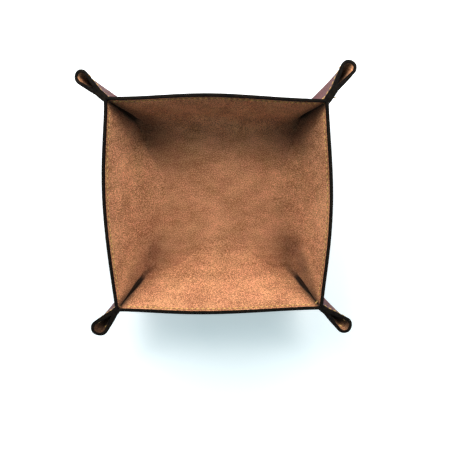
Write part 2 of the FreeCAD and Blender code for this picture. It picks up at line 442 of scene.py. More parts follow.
    def pressed_half(self, centre: complex, radii: tuple[float, float], back: float, gap: float) -> Half:
        """The side of a corner with its neck as near to its pressed width as its depth allows.

        Args:
            centre: Centre of the loop.
            radii: Radius of the loop and of the shoulder.
            back: How much further back the shoulder sits.
            gap: Width of the neck where it is pressed.

        Returns:
            The circle centres with the way across the neck.
        """
        half, neck = self.half_corner(centre, radii, back, gap, 0.0)
        if neck >= self.least_neck:
            return half
        low, high = 0.0, self.widest_openness
        for _ in range(self.openness_halvings):
            middle = (low + high) / 2.0
            neck = self.half_corner(centre, radii, back, gap, middle)[1]
            low, high = (low, middle) if neck >= self.least_neck else (middle, high)
        return self.half_corner(centre, radii, back, gap, high)[0]

    def corner_place(self, ear: Ear, half_width: float | Points, share: float | Points) -> complex | Points:
        """Where two wall lines meet at a corner, at a share of the rise."""
        diagonal = ear.turn * math.sqrt(2.0)
        return diagonal * half_width + (ear.corner - diagonal * self.rim_half_width) * share

    def corner_at(self, ear: Ear, level: Level) -> Corner:
        """Circles of one pinched corner at a level.

        Args:
            ear: The ear of the corner.
            level: The level.

        Returns:
            The circles in plan.
        """
        turn = ear.turn
        left = max(0.0, 1.0 - level.share)
        at_base = left ** self.radius_power
        height = level.share / self.ear_share
        edge_place = self.corner_place(ear, self.half_width_at(self.ear_share), self.ear_share)
        span = (ear.loop - edge_place) / turn
        along = min(1.0, max(0.0, level.share / self.slit_top)) ** self.slit_power
        slit = ear.slit * math.sin(math.pi * along) ** 2
        flare = (ear.loop_radius - self.crease_radius) * height ** self.flare_power
        fold_radius = self.crease_radius + flare + slit / 2.0
        loop_radius = fold_radius + (self.base_corner_radius - fold_radius) * at_base
        reach = (abs(span) + ear.loop_radius) * height - self.ear_sag * left ** self.sag_power - loop_radius
        heading = math.degrees(math.atan2(span.imag, span.real)) + ear.twist_deg * max(0.0, 1.0 - height)
        axis = turn_of(heading * (1.0 - at_base))
        growth = (self.loop_shoulder_radius - self.base_shoulder_radius) * height ** 2
        shoulder_radius = self.base_shoulder_radius + growth + self.thickness
        low, high = self.throat_shares
        back = ear.throat * ease((level.share - low) / (high - low))
        radii = (loop_radius, shoulder_radius)
        gap = self.neck_gap + slit
        place = self.corner_place(ear, level.half_width, level.share)
        mirrored = self.pressed_half(reach * axis.conjugate(), radii, back, gap)
        after = self.pressed_half(reach * axis, radii, back, gap)
        ways = [way.conjugate() for way in (mirrored.root, mirrored.shoulder, mirrored.above)]
        sides = []
        for root, shoulder, above in (ways, (after.root, after.shoulder, after.above)):
            sides.append(Half(place + turn * root, place + turn * shoulder, turn * above))
        return Corner(place + turn * reach * axis, loop_radius, shoulder_radius, turn * axis, *sides)

    def half_outline(self, corner: Corner, half: Half, wall_centre: complex, outset: float) -> list[complex]:
        """Root, neck, shoulder, throat and half loop of one side of a corner.

        Args:
            corner: The corner.
            half: The side of it.
            wall_centre: Centre of the arc of the wall on that side.
            outset: How far outside the suede face the outline runs.

        Returns:
            Plan points from the wall to the ear's tip.
        """
        to_shoulder = half.shoulder - corner.centre
        lean = math.acos(min(1.0, (corner.loop_radius + corner.shoulder_radius) / abs(to_shoulder)))
        side = 1.0 if (half.above / corner.axis).imag > 0.0 else -1.0
        meets = unit(to_shoulder) * complex(math.cos(lean), -side * math.sin(lean))
        root_radius = self.root_radius - outset
        shoulder_radius = corner.shoulder_radius - outset
        root = arc(half.root, root_radius, wall_centre - half.root, -half.above, self.root_chords)
        shoulder = arc(half.shoulder, shoulder_radius, -half.above, -meets, self.shoulder_chords)
        loop = arc(corner.centre, corner.loop_radius + outset, meets, corner.axis, self.loop_chords)
        neck = between(root[-1], shoulder[0], self.neck_chords)
        throat = between(shoulder[-1], loop[0], self.throat_chords)
        return root + neck + shoulder + throat + loop

    def ring(self, level: Level, depth: float) -> Points:
        """Closed outline of the sheet at a level.

        Args:
            level: The level.
            depth: Depth of the face under the suede face.

        Returns:
            The points, anticlockwise from above.
        """
        outset = depth * math.sin(level.turn)
        height = level.height - depth * math.cos(level.turn)
        risen = (1.0 - math.cos(level.turn)) / (1.0 - math.cos(self.full_turn))
        corners = [self.corner_at(ear, level) for ear in self.ears]
        arcs = []
        for corner, following, wall in zip(corners, corners[1:] + corners[:1], self.walls):
            start, end = corner.after.root, following.before.root
            bow = self.base_bow + (wall.bow - self.base_bow) * level.share
            centre = circle_centre(start, (start + end) / 2.0 - 1j * unit(end - start) * bow, end)
            arcs.append((centre, start, end))
        plan: list[complex] = []
        for index, (corner, wall) in enumerate(zip(corners, self.walls)):
            centre, start, end = arcs[index]
            radius = abs(start - centre) - self.root_radius + outset
            plan += self.half_outline(corner, corner.before, arcs[index - 1][0], outset)
            plan += self.half_outline(corner, corner.after, centre, outset)[-2::-1]
            line = arc(centre, radius, start - centre, end - centre, self.wall_chords)
            inward = 1j * unit(end - start)
            dip = wall.dip * (1.0 - risen ** self.dip_fade)
            for step in range(1, self.wall_chords):
                along = step / self.wall_chords
                drawn = dip * math.sin(math.pi * along ** wall.dip_peak) ** wall.dip_power
                swell = wall.belly * level.share * math.sin(math.pi * along ** wall.peak_power) ** 2
                plan.append(line[step] + inward * (drawn - swell))
        return np.array([(point.real, point.imag, height) for point in plan])

    def strip(self, face: Face) -> list[Points]:
        """Lower and upper row of the straight strip under the cut edge of a face."""
        levels = [self.level_on_wall(share) for share in (self.strip_share, self.over_share)]
        return [self.ring(level, self.depth(face)) for level in levels]

    def to_edge(self, face: Face, rise: float) -> Points:
        """Row where a face meets the planes of the cut edge.

        Args:
            face: The face.
            rise: How far the planes are raised.

        Returns:
            The row, a closed outline.
        """
        fall = math.tan(math.radians(self.rim_fall_deg))
        low, high = self.strip(face)
        gaps = []
        for row in (low, high):
            reach = np.abs(row[:, :2]).max(axis=1)
            gaps.append(self.rim_height + rise - (reach - self.rim_half_width) * fall - row[:, 2])
        return low + (high - low) * (gaps[0] / (gaps[0] - gaps[1]))[:, None]

    @staticmethod
    def base_row(outline: Points, share: float) -> Points:
        """One row of the flat base, with its points spread out more evenly the nearer it is to the middle.

        Args:
            outline: Outline of the flat base.
            share: Share of the outline's size.

        Returns:
            The row, as many points as the outline.
        """
        way = ClosedLine.through(outline)
        drift = np.arange(len(outline)) * way.total / len(outline) - way.lengths
        places = way.lengths + (drift - drift.mean()) * (1.0 - share)
        return way.at(outline, places) * [share, share, 1.0]

    def rows(self, face: Face, depth: float) -> list[Points]:
        """All the rows of one face from the middle of the base to the cut edge.

        Args:
            face: The face.
            depth: Depth under the suede face, which may differ a little from the face's own.

        Returns:
            The rows, each a closed outline.
        """
        flat = self.ring(self.level_on_bend(0.0), depth)
        levels = [self.level_on_bend(step / self.bend_rows) for step in range(self.bend_rows + 1)]
        for step in range(1, self.wall_rows + 1):
            levels.append(self.level_on_wall(self.strip_share * step / self.wall_rows))
        rows = [self.base_row(flat, step / self.base_rows) for step in range(1, self.base_rows)]
        rows += [self.ring(level, depth) for level in levels]
        low, edge = rows[-1], self.to_edge(face, 0.0)
        rows += [low + (edge - low) * (step / self.strip_rows) for step in range(1, self.strip_rows + 1)]
        return rows

    def settle(self, points: Points) -> Points:
        """The slight unevenness of a hand-folded sheet, the same for every piece at a place.

        Args:
            points: Points as folded.

        Returns:
            The points as they settle.
        """
        x, y = points[..., 0] / self.wave_span, points[..., 1] / self.wave_span
        height = np.clip(points[..., 2] / self.rim_height, 0.0, 1.0)
        moved = points.copy()
        moved[..., 0] += height * sum(wave.at(x, y) for wave in self.side_waves)
        moved[..., 1] += height * sum(wave.at(x, y) for wave in self.front_waves)
        moved[..., 2] += height ** 2 * self.lift_wave.at(x, y)
        return moved


@dataclass(frozen=True)
class FoldShade:
    """Painted shade of the lining inside the ears, in their pockets and along their creases, in millimetres.
    """

    form: TrayForm
    # Painted shade: its reach at the rim, the strength of the crease line and where the lit part of a loop
    # starts.
    crease_reach: float = 2.5
    line_share: float = 0.85
    tail_fade: float = 1.0
    inside_start: float = -3.2
    inside_run: float = 3.4
    lit_share: float = 0.5
    lit_run: float = 4.0
    lit_depth: float = 9.0
    lit_fade: float = 6.0
    lit_middle: float = 0.12

    def inside_ear(self, ear: Ear, plan: Points, along: Points, below: Points) -> Points:
        """Shade inside one ear, less where its loop catches the light.

        Args:
            ear: The ear.
            plan: Plan places of the points.
            along: How far out from the crease each lies, along the ear.
            below: How far each lies below the cut edge.

        Returns:
            The shade of each point.
        """
        lit_start = self.lit_share * abs(ear.loop - ear.corner)
        in_loop = np.clip((along - lit_start) / self.lit_run, 0.0, 1.0)
        in_loop *= np.clip((self.lit_depth - below) / self.lit_fade, 0.0, 1.0)
        across = ear.from_corner(plan).imag / ear.loop_radius
        facing = np.clip(self.lit_middle + ear.lit_side * across, 0.0, 1.0)
        in_loop *= 1.0 - abs(ear.lit_side) * (1.0 - facing)
        inside = np.clip((along - self.inside_start) / self.inside_run, 0.0, 1.0)
        return inside * (1.0 - (1.0 - ear.lip_shade) * in_loop)

    def by_crease(self, ear: Ear, away: Points, shares: Points) -> Points:
        """Shade of the pocket under one ear and of the line that its crease draws.

        Args:
            ear: The ear.
            away: Plan places counted from the crease, along the ear and across it.
            shares: Share of the rise of each point.

        Returns:
            The shade of each point.
        """
        pocket = away - ear.pocket_shift * (1.0 - shares) / ear.turn
        reach = ear.pocket_reach + (self.crease_reach - ear.pocket_reach) * shares
        near = ear.pocket_shade * np.exp(-(np.abs(pocket) / reach) ** 2)
        tail = np.clip(away.real, -ear.tail * (1.0 - shares) ** 2, 0.0)
        fading = np.clip(1.0 + away.real / (ear.tail + self.tail_fade), 0.0, 1.0)
        off_line = np.abs(away - tail - ear.line_shift) / ear.line_reach
        line = self.line_share * fading * np.exp(-off_line ** 2)
        return 1.0 - (1.0 - near) * (1.0 - line)

    def at(self, points: Points, below: Points) -> Points:
        """Shade of points of the lining, 1 inside an ear and fading away from its crease.

        Args:
            points: Points of the lining.
            below: How far each lies below the cut edge.

        Returns:
            The shade of each point.
        """
        form = self.form
        shares = np.clip((points[:, 2] - form.thickness) / form.rise, 0.0, 1.0)
        plan = plan_of(points)
        shade = np.zeros(len(points))
        for ear in form.ears:
            away = (plan - form.corner_place(ear, form.half_width_at(shares), shares)) / ear.turn
            inside = self.inside_ear(ear, plan, away.real, below)
            shade = np.maximum(shade, np.maximum(inside, self.by_crease(ear, away, shares)))
        return shade


@dataclass
class MeshBuild:
    """Points and faces of one piece while it is made, in millimetres."""

    points: list[Points] = field(default_factory=list)
    faces: list[tuple[int, ...]] = field(default_factory=list)
    count: int = 0

    def add(self, row: Points) -> int:
        """Adds points.

        Args:
            row: The points.

        Returns:
            The number of the first one.
        """
        first = self.count
        self.points.append(row)
        self.count += len(row)
        return first

    def band(self, lower: int, upper: int, width: int, flip: bool = False) -> None:
        """Quads between two closed rows of the same width.

        Args:
            lower: Number of the first point of one row.
            upper: Number of the first point of the other.
            width: Points in each row.
            flip: Whether the quads face inward.
        """
        for step in range(width):
            following = (step + 1) % width
            quad = (lower + step, lower + following, upper + following, upper + step)
            self.faces.append(quad[::-1] if flip else quad)

    def fan(self, row: int, width: int, tip: int, flip: bool = False) -> None:
        """Triangles from a closed row to one point.

        Args:
            row: Number of the first point of the row.
            width: Points in the row.
            tip: Number of the one point.
            flip: Whether the triangles face the other way.
        """
        for step in range(width):
            triangle = (row + step, tip, row + (step + 1) % width)
            self.faces.append(triangle[::-1] if flip else triangle)

    def sweep(self, rows: Sequence[Points], joined: bool = False, flip: bool = False) -> list[int]:
        """Surface through closed rows of the same width.

        Args:
            rows: The rows.
            joined: Whether the last row is joined to the first.
            flip: Whether the surface faces inward.

        Returns:
            The number of the first point of each row.
        """
        firsts = [self.add(row) for row in rows]
        for lower, upper in zip(firsts, firsts[1:] + firsts[:1] if joined else firsts[1:]):
            self.band(lower, upper, len(rows[0]), flip)
        return firsts

    def capped(self, rows: Sequence[Points]) -> None:
        """Tube through closed rows with both ends capped.

        Args:
            rows: The rows.
        """
        firsts = self.sweep(rows)
        for end, flip in ((0, False), (-1, True)):
            tip = self.add(rows[end].mean(axis=0)[None, :])
            self.fan(firsts[end], len(rows[end]), tip, flip)

    def piece(self, name: str, form: TrayForm, slot: str, cad_node: str,
              **values: Sequence[float]) -> bpy.types.Object:
        """Makes the mesh object, and hides the CAD part that it stands for.

        Args:
            name: Name of the piece.
            form: The folded shape, whose unevenness the piece follows.
            slot: Material slot of the record, not used.
            cad_node: CAD node that it replaces.
            values: Numbers kept for each point, for its finish to read.

        Returns:
            The object, riding on the tray's body.
        """
        mesh = bpy.data.meshes.new(name)
        points = form.settle(np.concatenate(self.points)) * MM
        mesh.from_pydata(points.tolist(), [], self.faces)
        mesh.polygons.foreach_set("use_smooth", [True] * len(mesh.polygons))
        mesh.update()
        for key, numbers in values.items():
            attribute = mesh.attributes.new(key, "FLOAT", "POINT")
            attribute.data.foreach_set("value", np.asarray(numbers, np.float32))
        made = bpy.data.objects.new(name, mesh)
        bpy.context.scene.collection.objects.link(made)
        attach(made, BODY)
        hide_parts(cad_node)
        LOG.info("%s: %d points, %d faces", name, self.count, len(self.faces))
        return made


@dataclass(frozen=True)
class Nodes:
    """A shader node tree while it is built."""

    tree: bpy.types.NodeTree

    @property
    def shader(self) -> bpy.types.Node:
        """The Principled BSDF of a material."""
        return next(each for each in self.tree.nodes if each.type == "BSDF_PRINCIPLED")

    def feed(self, socket: Socket, value: Any) -> None:
        """Links an output to an input, or sets the input's own value.

        Args:
            socket: The input.
            value: An output socket, a number, a vector or a colour.
        """
        if isinstance(value, Socket):
            self.tree.links.new(value, socket)
        else:
            socket.default_value = (*value, 1.0) if socket.type == "RGBA" else value

    def add(self, kind: str, sockets: dict[Any, Any], **settings: Any) -> bpy.types.Node:
        """Adds a shader node.

        Args:
            kind: Type name without its ShaderNode prefix.
            sockets: Input names or numbers, each with what to feed it.
            settings: Attributes of the node.

        Returns:
            The node.
        """
        made = self.tree.nodes.new("ShaderNode" + kind)
        for name, value in settings.items():
            setattr(made, name, value)
        for name, value in sockets.items():
            self.feed(made.inputs[name], value)
        return made

    def shade(self, sockets: dict[str, Any]) -> None:
        """Feeds inputs of the material's shader."""
        for name, value in sockets.items():
            self.feed(self.shader.inputs[name], value)

    def maths(self, operation: str, *values: Any) -> Socket:
        """Result of an operation on numbers or sockets."""
        return self.add("Math", dict(enumerate(values)), operation=operation).outputs[0]

    def vectors(self, operation: str, *values: Any) -> Any:
        """Outputs of an operation on vectors or sockets."""
        return self.add("VectorMath", dict(enumerate(values)), operation=operation).outputs

    def ranged(self, value: Socket, start: Any, end: Any, first: float = 0.0, last: float = 1.0) -> Socket:
        """Number that goes from a first to a last one while a value goes from a start to an end."""
        return self.add("MapRange", {"Value": value, 1: start, 2: end, 3: first, 4: last}).outputs[0]

    def noise(self, place: Socket, scale: Any, detail: float, roughness: float = 0.5,
              distortion: float = 0.0) -> bpy.types.Node:
        """Noise pattern at places."""
        sockets = {"Vector": place, "Scale": scale, "Detail": detail, "Roughness": roughness}
        return self.add("TexNoise", {**sockets, "Distortion": distortion})

    def blend(self, factor: Any, first: Any, second: Any, kind: str = "MIX") -> Socket:
        """Colour mixed from two colours or sockets."""
        colours = {"Factor": factor, 6: first, 7: second}
        return self.add("Mix", colours, data_type="RGBA", blend_type=kind).outputs[2]

    def grey(self, value: Socket) -> Socket:
        """Colour with one number in all its channels."""
        return self.add("CombineColor", {0: value, 1: value, 2: value}).outputs[0]

    def place(self) -> Socket:
        """Place on the piece in metres."""
        return self.add("TexCoord", {}).outputs["Object"]

    def kept(self, name: str) -> Socket:
        """Number that the piece keeps for each point."""
        return self.add("Attribute", {}, attribute_name=name).outputs["Fac"]

    def relief(self, height: Socket, depth: float) -> Socket:
        """Normal that follows a height, with its depth in metres."""
        return self.add("Bump", {"Height": height, "Strength": 1.0, "Distance": depth}).outputs[0]

    def seen_directly(self) -> Socket:
        """Tells what is seen from what only gives light.

        Returns:
            1 for rays from the camera, a mirror or glass, and 0 for the light that falls on things.
        """
        path = self.add("LightPath", {}).outputs
        seen = self.maths("MAXIMUM", path["Is Camera Ray"], path["Is Glossy Ray"])
        return self.maths("MAXIMUM", seen, path["Is Transmission Ray"])


def new_group(name: str, inputs: dict[str, float], outputs: Sequence[str]) -> tuple[Nodes, Any, Any]:
    """Starts a shader node group.

    Args:
        name: Name of the group.
        inputs: Names and default values of its number inputs, after a Vector input.
        outputs: Names of its number outputs.

    Returns:
        Its nodes, the sockets that bring its inputs and the sockets that take its outputs.
    """
    tree = bpy.data.node_groups.new(name, "ShaderNodeTree")
    tree.interface.new_socket("Vector", in_out="INPUT", socket_type="NodeSocketVector")
    for key, value in inputs.items():
        tree.interface.new_socket(key, in_out="INPUT", socket_type="NodeSocketFloat").default_value = value
    for key in outputs:
        tree.interface.new_socket(key, in_out="OUTPUT", socket_type="NodeSocketFloat")
    given = tree.nodes.new("NodeGroupInput")
    made = tree.nodes.new("NodeGroupOutput")
    return Nodes(tree), given.outputs, made.inputs


class Effects:
    """Shader node groups for the finishes."""

    def __init__(self) -> None:
        """Builds the groups once."""
        self.mottle = self._mottle()
        self.grain = self._grain()
        self.rub = self._rub()

    @staticmethod
    def _mottle() -> bpy.types.NodeTree:
        """Soft patches and fine speckle, both about 0.5 on average.

        Returns:
            The group.
        """
        scales = {"Patch": 30.0, "Speckle": 900.0}
        nodes, given, made = new_group("soft_mottle", scales, ["Patches", "Speckles"])
        broad = nodes.noise(given["Vector"], given["Patch"], detail=5.0, roughness=0.62, distortion=0.5)
        fine = nodes.noise(given["Vector"], given["Speckle"], detail=2.0, roughness=0.7)
        nodes.feed(made["Patches"], broad.outputs[0])
        nodes.feed(made["Speckles"], fine.outputs[0])
        return nodes.tree

    @staticmethod
    def _grain() -> bpy.types.NodeTree:
        """Pebbled skin relief with fine pores, as a height.

        Returns:
            The group.
        """
        crease_width = 0.22
        warp_depth = (0.0018, 0.0018, 0.0018)
        middle = (PATTERN_MIDDLE, PATTERN_MIDDLE, PATTERN_MIDDLE)
        nodes, given, made = new_group("skin_grain", {"Scale": 700.0, "Pores": 0.4}, ["Height", "Creases"])
        warp = nodes.noise(given["Vector"], scale=160.0, detail=2.0).outputs["Color"]
        bent = nodes.vectors("MULTIPLY", nodes.vectors("SUBTRACT", warp, middle)[0], warp_depth)[0]
        place = nodes.vectors("ADD", given["Vector"], bent)[0]
        pebbles = {"Vector": place, "Scale": given["Scale"]}
        cells = nodes.add("TexVoronoi", pebbles, feature="DISTANCE_TO_EDGE").outputs["Distance"]
        creases = nodes.ranged(cells, 0.0, crease_width)
        pores = nodes.noise(given["Vector"], scale=2600.0, detail=1.0).outputs[0]
        nodes.feed(made["Height"], nodes.maths("MULTIPLY_ADD", pores, given["Pores"], creases))
        nodes.feed(made["Creases"], creases)
        return nodes.tree

    @staticmethod
    def _rub() -> bpy.types.NodeTree:
        """Broken mask of rubbing that fades over a distance from an edge.

        Returns:
            The group.
        """
        breaks = (0.42, 0.68)
        nodes, given, made = new_group("edge_rub", {"Distance": 0.0, "Reach": 3.0}, ["Mask"])
        near = nodes.ranged(given["Distance"], 0.0, given["Reach"], 1.0, 0.0)
        broken = nodes.noise(given["Vector"], scale=420.0, detail=4.0, roughness=0.7).outputs[0]
        nodes.feed(made["Mask"], nodes.maths("MULTIPLY", near, nodes.ranged(broken, *breaks)))
        return nodes.tree

    def mottled(self, nodes: Nodes, place: Socket, **scales: float) -> tuple[Socket, Socket]:
        """Patches and speckles of the mottle in a material, with its own scales."""
        return tuple(nodes.add("Group", {"Vector": place, **scales}, node_tree=self.mottle).outputs)

    def rubbed(self, nodes: Nodes, place: Socket, reach: float) -> Socket:
        """Mask of rubbing in a material, which fades over a reach below the cut edge."""
        sockets = {"Vector": place, "Distance": nodes.kept("below_edge"), "Reach": reach}
        return nodes.add("Group", sockets, node_tree=self.rub).outputs["Mask"]


class Finish:
    """A procedural material, for which each kind of finish writes its own nodes."""

    name: ClassVar[str]

    def write(self, nodes: Nodes, effects: Effects) -> None:
        """Writes the nodes of the finish."""
        raise NotImplementedError

    def material(self, effects: Effects) -> bpy.types.Material:
        """Builds the material.

        Args:
            effects: Shared node groups.

        Returns:
            The material.
        """
        material = bpy.data.materials.new(self.name)
        material.use_nodes = True
        self.write(Nodes(material.node_tree), effects)
        return material


@dataclass(frozen=True)
class SuedeFinish(Finish):
    """Tan split leather with a short brushed nap.

    Scales count per metre, tones and naps say how strongly each pattern shows, and the base depths are the
    millimetres below the cut edge over which the wall becomes the base.
    """

    name: ClassVar[str] = "tan_suede"
    deep: Colour = (0.352, 0.137, 0.062)
    main: Colour = (0.545, 0.224, 0.107)
    pale: Colour = (0.71, 0.324, 0.168)
    # Painted shade: the near-black that the lining is mixed towards inside the ears, in the pockets and along
    # the creases and the seam.
    pressed: Colour = (0.01, 0.006, 0.004)
    ruddy: Colour = (1.0, 0.94, 0.94)
    olive: Colour = (0.93, 0.98, 0.89)
    # Painted light: the base is tinted slightly redder than the walls, standing in for the colour of the
    # light that falls on it.
    base_light_tint: Colour = (1.0, 0.963, 0.951)
    ramp_places: tuple[float, float, float] = (0.12, 0.52, 0.92)
    pattern_shift: Place = (0.05, 0.02, 0.0)
    patch_scale: float = 34.0
    speckle_scale: float = 1450.0
    stroke_scale: Place = (60.0, 150.0, 90.0)
    stroke_turn: Place = (0.0, 0.0, 0.35)
    hue_scale: float = 52.0
    hue_range: tuple[float, float] = (0.36, 0.64)
    fibre_scale: float = 2200.0
    patch_tone: float = 1.575
    patch_zero: float = -0.2625
    stroke_tone: float = 0.7
    speckle_tone: float = 5.6
    speckle_zero: float = -3.17
    base_depths: tuple[float, float] = (36.0, 48.0)
    # Speckle is stronger on the walls than on the base: partly the nap's own tone and partly painted shading
    # of its relief under slanting light.
    wall_nap_and_shading: float = 2.8
    base_nap_and_shading: float = 1.5
    smudges: float = 0.4
    streaks: float = 0.55
    # How far the painted shade of the folds goes towards that near-black.
    fold_strength: float = 0.96
    # Painted shade in a band along the seam, standing in for the shade in the groove that the stitches pull
    # in.
    groove_reach: tuple[float, float] = (0.3, 0.8)
    groove_strength: float = 0.42
    roughness: tuple[float, float] = (0.98, 0.82)
    gloss: float = 0.15
    sheen: float = 0.12
    sheen_roughness: float = 0.45
    sheen_tint: Colour = (0.9, 0.62, 0.42)
    speckle_relief: float = 0.8
    relief_depth: float = 0.00045

    def nap_colour(self, nodes: Nodes, tone: Socket) -> Socket:
        """Colour of the nap from its deep to its pale tone.

        Args:
            nodes: Nodes of the material.
            tone: Tone from 0 to 1.

        Returns:
            The colour.
        """
        ramp = nodes.add("ValToRGB", {"Fac": tone})
        stops = ramp.color_ramp.elements
        stops.new(self.ramp_places[1])
        for stop, position, colour in zip(stops, self.ramp_places, (self.deep, self.main, self.pale)):
            stop.position = position
            stop.color = (*colour, 1.0)
        return ramp.outputs[0]

    def write(self, nodes: Nodes, effects: Effects) -> None:
        """Writes the nap with its hues and its fibres, painted shade in the folds and along the seam, and
        painted light and shade in patches.

        Args:
            nodes: Nodes of the material.
            effects: Shared node groups.
        """
        place = nodes.vectors("ADD", nodes.place(), self.pattern_shift)[0]
        below = nodes.kept("below_edge")
        scales = {"Patch": self.patch_scale, "Speckle": self.speckle_scale}
        patches, speckles = effects.mottled(nodes, place, **scales)
        turned = {"Vector": place, "Rotation": self.stroke_turn, "Scale": self.stroke_scale}
        brushed = nodes.add("Mapping", turned).outputs[0]
        strokes = nodes.noise(brushed, scale=1.0, detail=4.0, roughness=0.6).outputs[0]
        nap = nodes.maths("MULTIPLY_ADD", patches, self.patch_tone, self.patch_zero)
        nap = nodes.maths("MULTIPLY_ADD", strokes, self.stroke_tone, nap)
        tone = nodes.maths("MULTIPLY_ADD", speckles, self.speckle_tone, self.speckle_zero)
        colour = self.nap_colour(nodes, nodes.maths("ADD", tone, nap))
        hues = nodes.noise(place, self.hue_scale, detail=7.0, roughness=0.72).outputs[0]
        tint = nodes.blend(nodes.ranged(hues, *self.hue_range), self.ruddy, self.olive)
        # Painted light: redder tint of the base for the light that falls on it.
        painted_base_light = nodes.blend(nodes.ranged(below, *self.base_depths), WHITE, self.base_light_tint)
        # Painted light and shade of the patches, partly the nap's own tone.
        light = nodes.maths("ADD", nodes.kept("nap_lift"), 1.0)
        # Partly painted shading: stronger speckle on the walls.
        speckle_and_shading = nodes.ranged(below, *self.base_depths, self.wall_nap_and_shading, self.base_nap_and_shading)
        for pattern, strength in ((patches, self.smudges), (strokes, self.streaks), (speckles, speckle_and_shading)):
            swing = nodes.maths("SUBTRACT", pattern, PATTERN_MIDDLE)
            light = nodes.maths("MULTIPLY_ADD", swing, strength, light)
        for layer in (tint, painted_base_light, nodes.grey(light)):
            colour = nodes.blend(1.0, colour, layer, "MULTIPLY")
        # Painted shade along the seam line.
        off_seam = nodes.maths("ABSOLUTE", nodes.maths("SUBTRACT", below, SEAM_INSET))
        groove = nodes.ranged(off_seam, *self.groove_reach, self.groove_strength, 0.0)
        # Painted shade of the folds, mixed with the painted shade along the seam towards the near-black
        # pressed colour.
        fold = nodes.maths("MULTIPLY", nodes.kept("fold_shade"), self.fold_strength)
        fibres = nodes.noise(place, self.fibre_scale, detail=3.0, roughness=0.75).outputs[0]
        height = nodes.maths("MULTIPLY_ADD", speckles, self.speckle_relief, fibres)
        nodes.shade({
            "Base Color": nodes.blend(nodes.maths("MAXIMUM", fold, groove), colour, self.pressed),
            "Roughness": nodes.ranged(nap, 0.0, 1.0, *self.roughness),
            "Specular IOR Level": self.gloss,
            "Sheen Weight": self.sheen,
            "Sheen Roughness": self.sheen_roughness,
            "Sheen Tint": self.sheen_tint,
            "Normal": nodes.relief(height, self.relief_depth),
        })


@dataclass(frozen=True)
class LeatherFinish(Finish):
    """Dark purple-brown smooth leather, waxed, paler where it is rubbed."""

    name: ClassVar[str] = "waxed_leather"
    deep: Colour = (0.09, 0.026, 0.025)
    main: Colour = (0.163, 0.046, 0.046)
    rubbed: Colour = (0.23, 0.09, 0.082)
    patch_scale: float = 45.0
    patch_range: tuple[float, float] = (0.3, 0.7)
    grain_scale: float = 620.0
    pores: float = 0.35
    crease_tone: float = 0.65
    rub_reach: float = 5.0
    rub_tint: float = 0.55
    smoothest: float = 0.3
    patch_roughness: float = 0.22
    rub_roughness: float = 0.15
    gloss: float = 0.07
    relief_depth: float = 0.00012

    def write(self, nodes: Nodes, effects: Effects) -> None:
        """Writes the grain, its dark creases and the rubbed band under the edge.

        Args:
            nodes: Nodes of the material.
            effects: Shared node groups.
        """
        place = nodes.place()
        patches = effects.mottled(nodes, place, Patch=self.patch_scale)[0]
        pebbled = {"Vector": place, "Scale": self.grain_scale, "Pores": self.pores}
        grain = nodes.add("Group", pebbled, node_tree=effects.grain).outputs
        rub = effects.rubbed(nodes, place, self.rub_reach)
        colour = nodes.blend(nodes.ranged(patches, *self.patch_range), self.deep, self.main)
        colour = nodes.blend(nodes.maths("MULTIPLY", rub, self.rub_tint), colour, self.rubbed)
        dark = nodes.grey(nodes.ranged(grain["Creases"], 0.0, 1.0, self.crease_tone, 1.0))
        rough = nodes.maths("MULTIPLY_ADD", patches, self.patch_roughness, self.smoothest)
        nodes.shade({
            "Base Color": nodes.blend(1.0, colour, dark, "MULTIPLY"),
            "Roughness": nodes.maths("MULTIPLY_ADD", rub, self.rub_roughness, rough),
            "Specular IOR Level": self.gloss,
            "Normal": nodes.relief(grain["Height"], self.relief_depth),
        })


@dataclass(frozen=True)
class EdgePaintFinish(Finish):
    """Black-brown edge paint, satin, a little uneven and rubbed on its crown."""

    name: ClassVar[str] = "edge_paint"
    main: Colour = (0.003, 0.0023, 0.0019)
    rubbed: Colour = (0.03, 0.02, 0.013)
    patch_scale: float = 160.0
    speckle_scale: float = 1500.0
    rub_reach: float = 0.5
    rub_tint: float = 0.5
    smoothest: float = 0.4
    patch_roughness: float = 0.3
    gloss: float = 0.04
    speckle_relief: float = 0.4
    relief_depth: float = 0.00025

    def write(self, nodes: Nodes, effects: Effects) -> None:
        """Writes the paint and the wear of its crown.

        Args:
            nodes: Nodes of the material.
            effects: Shared node groups.
        """
        place = nodes.place()
        scales = {"Patch": self.patch_scale, "Speckle": self.speckle_scale}
        patches, speckles = effects.mottled(nodes, place, **scales)
        rub = nodes.maths("MULTIPLY", effects.rubbed(nodes, place, self.rub_reach), self.rub_tint)
        height = nodes.maths("MULTIPLY_ADD", speckles, self.speckle_relief, patches)
        nodes.shade({
            "Base Color": nodes.blend(rub, self.main, self.rubbed),
            "Roughness": nodes.maths("MULTIPLY_ADD", patches, self.patch_roughness, self.smoothest),
            "Specular IOR Level": self.gloss,
            "Normal": nodes.relief(height, self.relief_depth),
        })


